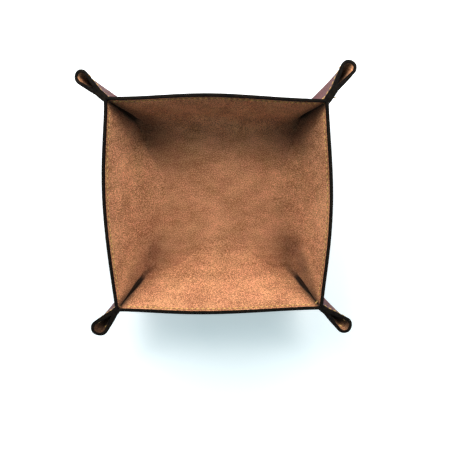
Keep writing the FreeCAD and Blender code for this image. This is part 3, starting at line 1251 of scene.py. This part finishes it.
@dataclass(frozen=True)
class ThreadFinish(Finish):
    """Golden tan waxed thread of two twisted strands."""

    name: ClassVar[str] = "waxed_thread"
    main: Colour = (1.0, 0.5, 0.13)
    pale: Colour = (1.0, 0.68, 0.26)
    # Painted shade: colour of the groove between the strands and of the stitch ends, where shade falls.
    groove: Colour = (0.09, 0.025, 0.008)
    patch_scale: float = 300.0
    speckle_scale: float = 4000.0
    smoothest: float = 0.45
    speckle_roughness: float = 0.3
    gloss: float = 0.1
    sheen: float = 0.1
    sheen_tint: Colour = (1.0, 0.6, 0.2)
    relief_depth: float = 0.00008

    def write(self, nodes: Nodes, effects: Effects) -> None:
        """Writes the fibres, with painted shade in the groove between the strands and at the stitch ends,
        where they sink into their holes.

        Args:
            nodes: Nodes of the material.
            effects: Shared node groups.
        """
        scales = {"Patch": self.patch_scale, "Speckle": self.speckle_scale}
        patches, speckles = effects.mottled(nodes, nodes.place(), **scales)
        colour = nodes.blend(patches, self.main, self.pale)
        nodes.shade({
            "Base Color": nodes.blend(nodes.kept("strand"), self.groove, colour),
            "Roughness": nodes.maths("MULTIPLY_ADD", speckles, self.speckle_roughness, self.smoothest),
            "Specular IOR Level": self.gloss,
            "Sheen Weight": self.sheen,
            "Sheen Tint": self.sheen_tint,
            "Normal": nodes.relief(speckles, self.relief_depth),
        })


@dataclass(frozen=True)
class FloorFinish(Finish):
    """White matt floor that keeps the tray's shadow, seen as a glow with painted shade: weaker and bluer
    round a place beside the tray where the shadow falls, and white further out.
    """

    name: ClassVar[str] = "white_floor"
    main: Colour = (0.965, 0.965, 0.965)
    # Painted shadow: colour of the glow round the place beside the tray where the shadow falls.
    painted_shadow_glow: Colour = (0.365, 0.4, 0.395)
    roughness: float = 0.9
    painted_shadow_place: Place = (0.035, -0.112, 0.0)
    painted_shadow_reach: tuple[float, float] = (0.05, 0.42)

    def write(self, nodes: Nodes, effects: Effects) -> None:
        """Writes the floor and its glow.

        Args:
            nodes: Nodes of the material.
            effects: Shared node groups, of which a plain floor needs none.
        """
        nodes.shade({"Base Color": self.main, "Roughness": self.roughness, "Specular IOR Level": 0.0})
        # Painted shadow: the glow is weakest and tinted round the shadow's place, and white further out.
        away = nodes.vectors("DISTANCE", nodes.place(), self.painted_shadow_place)["Value"]
        colour = nodes.blend(nodes.ranged(away, *self.painted_shadow_reach), self.painted_shadow_glow, WHITE)
        glow = nodes.add("Emission", {"Color": colour, "Strength": nodes.seen_directly()})
        both = nodes.add("AddShader", {0: nodes.shader.outputs[0], 1: glow.outputs[0]})
        out = next(each for each in nodes.tree.nodes if each.type == "OUTPUT_MATERIAL")
        nodes.feed(out.inputs["Surface"], both.outputs[0])


def dress(piece: bpy.types.Object, material: bpy.types.Material) -> None:
    """Gives a piece its finish."""
    piece.data.materials.clear()
    piece.data.materials.append(material)


@dataclass
class FoldedSheet:
    """The two plies of the tray and the painted edge that closes them, in millimetres."""

    form: TrayForm
    patches: tuple[NapAndLightPatch, ...]
    glue_gap: float = 0.02
    bead_overhangs: tuple[float, float] = (0.28, 0.1)
    bead_skirt: float = 0.8
    skirt_stands: tuple[float, float] = (-0.1, 0.05)
    bead_crown: float = 0.5
    crown_power: float = 0.8
    bead_steps: int = 10
    neck_spreads: tuple[float, float] = (0.35, 0.9)
    spread_run: float = 3.0
    spread_fade: float = 0.55

    def ply(self, faces: tuple[Face, Face], depths: tuple[float, float]) -> tuple[MeshBuild, list[float]]:
        """One closed ply between two faces.

        Args:
            faces: Faces on the outside and the inside of the ply.
            depths: Depth of each under the suede face.

        Returns:
            The build, and how far each point lies below the cut edge.
        """
        build = MeshBuild()
        below: list[float] = []
        edges = []
        for face, depth, flip in zip(faces, depths, (False, True)):
            rows = self.form.rows(face, depth)
            firsts = build.sweep(rows, flip=flip)
            middle = np.array([[0.0, 0.0, rows[0][0, 2]]])
            build.fan(firsts[0], len(rows[0]), build.add(middle), flip)
            for row in rows:
                below += np.linalg.norm(rows[-1] - row, axis=1).tolist()
            below.append(self.form.rim_half_width)
            edges.append(firsts[-1])
        build.band(edges[0], edges[1], len(rows[0]))
        return build, below

    def leather(self) -> bpy.types.Object:
        """Builds the outside ply.

        Returns:
            The piece.
        """
        form = self.form
        depths = (form.thickness, form.suede_thickness + self.glue_gap)
        build, below = self.ply((Face.LEATHER, Face.GLUE), depths)
        piece = build.piece("leather_outside", form, "outer_leather", "outer_leather", below_edge=below)
        return piece

    def suede(self) -> bpy.types.Object:
        """Builds the inside ply.

        Returns:
            The piece.
        """
        form = self.form
        build, below = self.ply((Face.GLUE, Face.SUEDE), (form.suede_thickness, 0.0))
        points = np.concatenate(build.points)
        # Painted shade of the corners and painted light and shade of the patches, kept at each point for the
        # finish.
        shade = FoldShade(form).at(points, np.array(below))
        piece = build.piece("suede_inside", form, "suede_lining", "suede_lining", below_edge=below,
                            fold_shade=shade, nap_lift=self.nap_lift(points))
        return piece

    def nap_lift(self, points: Points) -> Points:
        """Share of light that each patch adds or takes, partly for the way the nap lies and partly as painted
        light and shade.

        Args:
            points: Points of the lining.

        Returns:
            The share at each point.
        """
        lift = np.zeros(len(points))
        for patch in self.patches:
            across = (points[:, 0] - patch.place.real) / patch.reach.real
            along = (points[:, 1] - patch.place.imag) / patch.reach.imag
            lift += patch.lift * np.exp(-across ** 2 - along ** 2)
        return lift

    def in_necks(self, points: Points) -> Points:
        """How far points of the edge lie in a pressed neck.

        Args:
            points: Points of the edge.

        Returns:
            From 0 on the walls and the loops to 1.
        """
        plan = plan_of(points)
        shares = np.zeros(len(points))
        for ear in self.form.ears:
            span = abs(ear.loop - ear.corner)
            past = ear.from_corner(plan).real
            to_loop = (span - past) / (span * self.spread_fade)
            shares = np.maximum(shares, np.clip(np.minimum(past / self.spread_run, to_loop), 0.0, 1.0))
        return shares

    def painted_edge(self) -> bpy.types.Object:
        """Builds the domed bead of paint over the cut edge of both plies.

        Returns:
            The piece.
        """
        form = self.form
        outer, inner = form.to_edge(Face.LEATHER, 0.0), form.to_edge(Face.SUEDE, 0.0)
        low, high = form.strip(Face.GLUE)
        up = normalised(high - low)
        across = normalised(outer - inner)
        middle = (outer + inner) / 2.0
        half = form.thickness / 2.0
        in_necks = self.in_necks(middle)
        outside, inside = [half + overhang + spread * in_necks
                           for overhang, spread in zip(self.bead_overhangs, self.neck_spreads)]
        skirt = [(np.full_like(in_necks, half + stand), -self.bead_skirt) for stand in self.skirt_stands]
        profile = skirt + [(outside, -self.bead_skirt / 2.0)]
        for step in range(self.bead_steps + 1):
            angle = math.pi * step / self.bead_steps
            wide = outside if angle < math.pi / 2.0 else inside
            profile.append((wide * math.cos(angle), self.bead_crown * math.sin(angle) ** self.crown_power))
        profile += [(-inside, -self.bead_skirt / 2.0)] + [(-reach, lift) for reach, lift in skirt[::-1]]
        build = MeshBuild()
        build.sweep([middle + across * reach[:, None] + up * lift for reach, lift in profile], joined=True)
        below = np.repeat([self.bead_crown - lift for _, lift in profile], len(middle))
        return build.piece("painted_edge", form, "edge_coat", "edge_coat", below_edge=below)


@dataclass
class Thread:
    """Sweeps a two-strand thread along a line of points, in millimetres."""

    width: float
    height: float
    twist_pitch: float = 1.7
    lobe: float = 0.2
    # Painted shade: the thread's tone swings with its twist and is darker in the groove between the strands.
    tone: float = 0.85
    tone_swing: float = 0.4
    sides: int = 10

    def rows(self, line: Points, normals: Points, thin: Points) -> tuple[list[Points], list[float]]:
        """Cross-sections along a line.

        Args:
            line: Points of the middle line.
            normals: Way up from what the thread lies on, at each point.
            thin: Share of the full thickness at each point.

        Returns:
            Closed rows of points, and for each point how far out of the groove between the strands it is,
            which sets the painted shade of that groove.
        """
        ahead = normalised(np.gradient(line, axis=0))
        across = normalised(np.cross(normals, ahead))
        up = np.cross(ahead, across)
        steps = np.linalg.norm(np.diff(line, axis=0), axis=1)
        travelled = np.concatenate([[0.0], np.cumsum(steps)])
        angles = np.linspace(0.0, 2.0 * math.pi, self.sides, endpoint=False)
        rows, strand = [], []
        for index, point in enumerate(line):
            swell = np.cos(2.0 * (angles - math.pi * travelled[index] / self.twist_pitch))
            radius = thin[index] * (1.0 + self.lobe * swell) / 2.0
            sideways = np.outer(np.cos(angles) * radius * self.width, across[index])
            upward = np.outer(np.sin(angles) * radius * self.height, up[index])
            rows.append(point - sideways + upward)
            strand += np.clip(self.tone + self.tone_swing * swell, 0.0, 1.0).tolist()
        return rows, strand


@dataclass
class Seam:
    """The lockstitch seam round the edge, on both faces, in millimetres."""

    form: TrayForm
    pitch: float = 4.23
    length: float = 3.1
    width: float = 1.0
    height: float = 0.6
    rise: float = 0.25
    rise_power: float = 5.0
    end_dip: float = 0.35
    dip_power: float = 9.0
    end_thin: float = 0.35
    thin_power: float = 6.0
    end_power: float = 2.0
    slant: float = 0.16
    unevenness: float = 0.05
    seed: int = 7
    corner_clear: float = 4.4
    neck_clear: float = 2.8
    samples: int = 13

    def in_neck(self, point: Points) -> bool:
        """Tells where the suede face has no room for a stitch.

        Args:
            point: A point of that face.

        Returns:
            Whether it lies in a corner or a pressed neck.
        """
        plan = complex(point[0], point[1])
        ear = max(self.form.ears, key=lambda each: (plan / each.turn).real)
        place = ear.from_corner(plan)
        in_corner = abs(place.real) < self.corner_clear
        return in_corner or (place.real > 0.0 and abs(place.imag) < self.neck_clear)

    def stitches(self, face: Face, name: str, cad_node: str) -> bpy.types.Object:
        """Builds all the stitches on one face.

        Args:
            face: Leather or suede face.
            name: Name of the piece.
            cad_node: CAD node that it replaces.

        Returns:
            The piece.
        """
        row = self.form.to_edge(face, -SEAM_INSET)
        low, high = self.form.strip(face)
        tangent = normalised(np.roll(row, -1, axis=0) - np.roll(row, 1, axis=0))
        up = normalised(high - low)
        out = normalised(np.cross(tangent, up)) * (1.0 if face is Face.LEATHER else -1.0)
        way = ClosedLine.through(row)
        count = round(way.total / self.pitch)
        shares = np.linspace(-1.0, 1.0, self.samples)
        ends = np.abs(shares)
        lift = self.rise * (1.0 - ends ** self.rise_power) - self.end_dip * ends ** self.dip_power
        thin = 1.0 - self.end_thin * ends ** self.thin_power
        random = np.random.default_rng(self.seed)
        thread = Thread(self.width, self.height)
        build = MeshBuild()
        strand: list[float] = []
        for index in range(count):
            slide, stretch, tilt = random.normal(0.0, self.unevenness, 3)
            middle = (index + 0.5) * way.total / count + slide
            if face is Face.SUEDE and self.in_neck(way.at(row, np.array([middle]))[0]):
                continue
            places = middle + shares * (self.length / 2.0 + stretch)
            normals = normalised(way.at(out, places))
            line = way.at(row, places) + normals * lift[:, None]
            line += way.at(up, places) * (shares * (self.slant + tilt))[:, None]
            rows, lit = thread.rows(line, normals, thin)
            build.capped(rows)
            # Painted shade: each stitch darkens towards its ends, where it sinks into its holes, and its caps
            # are dark.
            shown = np.array(lit) * np.repeat(1.0 - ends ** self.end_power, thread.sides)
            strand += shown.tolist() + [0.0, 0.0]
        return build.piece(name, self.form, "thread", cad_node, strand=strand)


@dataclass
class CornerTack:
    """Heavy thread that holds one pinched corner, with a loose end where its ear has one, in millimetres.

    The tip lies past the neck's end, and the bar's back and turn say where the thread comes round the corner.
    """

    form: TrayForm
    ear: Ear
    drop: float = 4.5
    diameter: float = 0.9
    snug_share: float = 0.42
    neck_start: float = 0.5
    neck_reach: float = 4.0
    neck_share: float = 0.8
    tip_past: float = 0.5
    tip_share: float = 0.55
    bar_back: float = 0.6
    bar_turn: float = 0.4
    end_side: float = 0.9
    end_bend: float = 0.6
    end_lift: float = 2.0
    end_width: float = 0.8
    end_thin: float = 0.3
    thin_power: float = 4.0
    end_tone: float = 0.3
    end_samples: int = 9
    samples: int = 96

    @property
    def side(self) -> float:
        """How far from the ear's axis the thread runs along the outside of the neck."""
        return self.form.neck_gap / 2.0 + self.form.thickness + self.diameter * self.snug_share

    @property
    def tip(self) -> float:
        """How far out along the ear the thread turns back."""
        return self.neck_reach + self.tip_past

    def place(self, plan: complex, lift: float = 0.0) -> Points:
        """Point near the corner at the thread's height.

        Args:
            plan: Plan place counted from the corner along the ear.
            lift: Height above the thread.

        Returns:
            The point.
        """
        form = self.form
        share = (form.rim_height - self.drop - form.thickness) / form.rise
        root = form.corner_place(self.ear, form.half_width_at(share), share)
        spot = root + unit(self.ear.loop - self.ear.corner) * plan
        return np.array([spot.real, spot.imag, form.rim_height - self.drop + lift])

    def loose_end(self) -> tuple[list[Points], list[float]]:
        """Short cut end of the thread that stands out beside the ear.

        Returns:
            Closed rows of points, and the tone of each point.
        """
        shares = np.linspace(0.0, 1.0, self.end_samples)
        start = complex(self.tip, -self.side * self.end_side)
        ways = self.ear.loose_end * (shares - 1j * self.end_bend * shares ** 2)
        line = np.array([self.place(start + way, self.end_lift * share) for way, share in zip(ways, shares)])
        width = self.diameter * self.end_width
        thin = 1.0 - self.end_thin * shares ** self.thin_power
        return Thread(width, width).rows(line, np.tile(UP, (len(line), 1)), thin)

    def line(self) -> Points:
        """Middle line of the closed loop, a cubic B-spline round its turning points.

        Returns:
            The points of the line.
        """
        side = self.side
        bar = -(side * self.bar_back + self.ear.bar_stand)
        half = [(bar, -self.ear.bar_width / 2.0), (bar * self.bar_turn, -side), (self.neck_start, -side)]
        half += [(self.neck_reach * self.neck_share, -side), (self.tip, -side * self.tip_share)]
        plan = half + [(along, -across) for along, across in reversed(half)]
        knots = np.array([self.place(complex(*spot)) for spot in plan])
        steps = np.arange(self.samples) * len(knots) / self.samples
        first = steps.astype(int)
        part = (steps - first)[:, None]
        weights = ((1 - part) ** 3, 3 * part ** 3 - 6 * part ** 2 + 4,
                   -3 * part ** 3 + 3 * part ** 2 + 3 * part + 1, part ** 3)
        shares = [knots[(first + shift) % len(knots)] * weight for shift, weight in enumerate(weights, -1)]
        return sum(shares) / 6.0

    def build(self) -> bpy.types.Object:
        """Builds the thread.

        Returns:
            The piece.
        """
        line = self.line()
        thread = Thread(self.diameter, self.diameter)
        rows, strand = thread.rows(line, np.tile(UP, (len(line), 1)), np.ones(len(line)))
        build = MeshBuild()
        build.sweep(rows, joined=True)
        if self.ear.loose_end > 0.0:
            end_rows, end_strand = self.loose_end()
            build.capped(end_rows)
            strand += end_strand + [self.end_tone, self.end_tone]
        name = self.ear.name
        return build.piece("corner_thread_" + name, self.form, "thread", "corner_tack_" + name, strand=strand)


@dataclass(frozen=True)
class Lamp:
    """One square soft lamp that faces the tray, in metres, its azimuth counted clockwise from north."""

    name: str
    azimuth_deg: float
    elevation_deg: float
    power: float
    distance: float = 0.9
    size: float = 0.55
    colour: Colour = (1.0, 0.99, 0.975)

    def build(self) -> None:
        """Adds the lamp to the scene."""
        data = bpy.data.lights.new(self.name, "AREA")
        data.shape = "SQUARE"
        data.size = self.size
        data.energy = self.power
        data.color = self.colour
        made = bpy.data.objects.new(self.name, data)
        level = turn_of(self.elevation_deg)
        heading = turn_of(90.0 - self.azimuth_deg) * level.real
        place = Vector((heading.real, heading.imag, level.imag)) * self.distance
        made.location = place
        made.rotation_mode = "QUATERNION"
        made.rotation_quaternion = (-place).to_track_quat("-Z", "Y")
        bpy.context.scene.collection.objects.link(made)


LAMPS = (
    Lamp("north_east_lamp", 47.0, 30.0, 7.0),
    Lamp("north_west_lamp", 324.0, 30.0, 8.3),
    Lamp("north_lamp", 0.0, 30.0, 0.5),
    Lamp("south_west_lamp", 225.0, 30.0, 0.2),
    Lamp("south_east_lamp", 135.0, 30.0, 0.15),
)


@dataclass
class Studio:
    """Pale floor, soft lamps, pale surroundings and the camera, whose eye and sensor are in millimetres."""

    eye: Place = (4.33, 53.44, 417.94)
    right: Place = (0.99996, -0.0075, 0.0056)
    up: Place = (0.0084, 0.9834, -0.181)
    focal_px: float = 490.0
    frame_px: float = 452.0
    sensor: float = 36.0
    near_clip: float = 0.01
    room_strength: float = 0.22
    room_colour: Colour = (0.54, 1.05, 1.28)
    floor_reach: float = 4.0
    floor_drop: float = 0.0001

    def camera(self) -> None:
        """Camera at the photograph's place."""
        data = bpy.data.cameras.new("camera")
        data.sensor_width = self.sensor
        data.lens = self.sensor * self.focal_px / self.frame_px
        data.clip_start = self.near_clip
        made = bpy.data.objects.new("camera", data)
        right = Vector(self.right).normalized()
        back = right.cross(Vector(self.up)).normalized()
        turn = Matrix((right, back.cross(right), back)).transposed()
        made.matrix_world = Matrix.Translation(Vector(self.eye) * MM) @ turn.to_4x4()
        bpy.context.scene.collection.objects.link(made)
        bpy.context.scene.camera = made

    def floor(self, material: bpy.types.Material) -> None:
        """White floor that keeps the tray's shadow.

        Args:
            material: Its finish.
        """
        mesh = bpy.data.meshes.new("floor")
        reach = self.floor_reach
        corners = ((-reach, -reach), (reach, -reach), (reach, reach), (-reach, reach))
        mesh.from_pydata([(x, y, -self.floor_drop) for x, y in corners], [], [(0, 1, 2, 3)])
        made = bpy.data.objects.new("floor", mesh)
        bpy.context.scene.collection.objects.link(made)
        dress(made, material)

    def surroundings(self) -> None:
        """Even pale light from all round, seen as white."""
        world = bpy.data.worlds.new("pale_room")
        world.use_nodes = True
        nodes = Nodes(world.node_tree)
        back = world.node_tree.nodes["Background"].inputs
        seen = nodes.seen_directly()
        nodes.feed(back["Color"], nodes.blend(seen, self.room_colour, WHITE))
        nodes.feed(back["Strength"], nodes.ranged(seen, 0.0, 1.0, self.room_strength, 1.0))
        bpy.context.scene.world = world

    def build(self, effects: Effects) -> None:
        """Sets up the whole studio.

        Args:
            effects: Shared node groups.
        """
        self.camera()
        self.floor(FloorFinish().material(effects))
        self.surroundings()
        for lamp in LAMPS:
            lamp.build()
        bpy.context.scene.view_settings.view_transform = "Standard"


def main() -> None:
    """Builds the studio, then every piece of the tray with its finish."""
    logging.basicConfig(level=logging.INFO, format="%(name)s %(message)s")
    effects = Effects()
    Studio().build(effects)
    form = TrayForm(EARS, WALLS)
    folded = FoldedSheet(form, NAP_AND_LIGHT_PATCHES)
    thread = ThreadFinish().material(effects)
    dress(folded.leather(), LeatherFinish().material(effects))
    dress(folded.suede(), SuedeFinish().material(effects))
    dress(folded.painted_edge(), EdgePaintFinish().material(effects))
    seam = Seam(form)
    dress(seam.stitches(Face.LEATHER, "leather_seam", "leather_stitches"), thread)
    dress(seam.stitches(Face.SUEDE, "lining_seam", "lining_stitches"), thread)
    for ear in form.ears:
        dress(CornerTack(form, ear).build(), thread)
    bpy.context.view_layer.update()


if __name__ == "__main__":
    main()
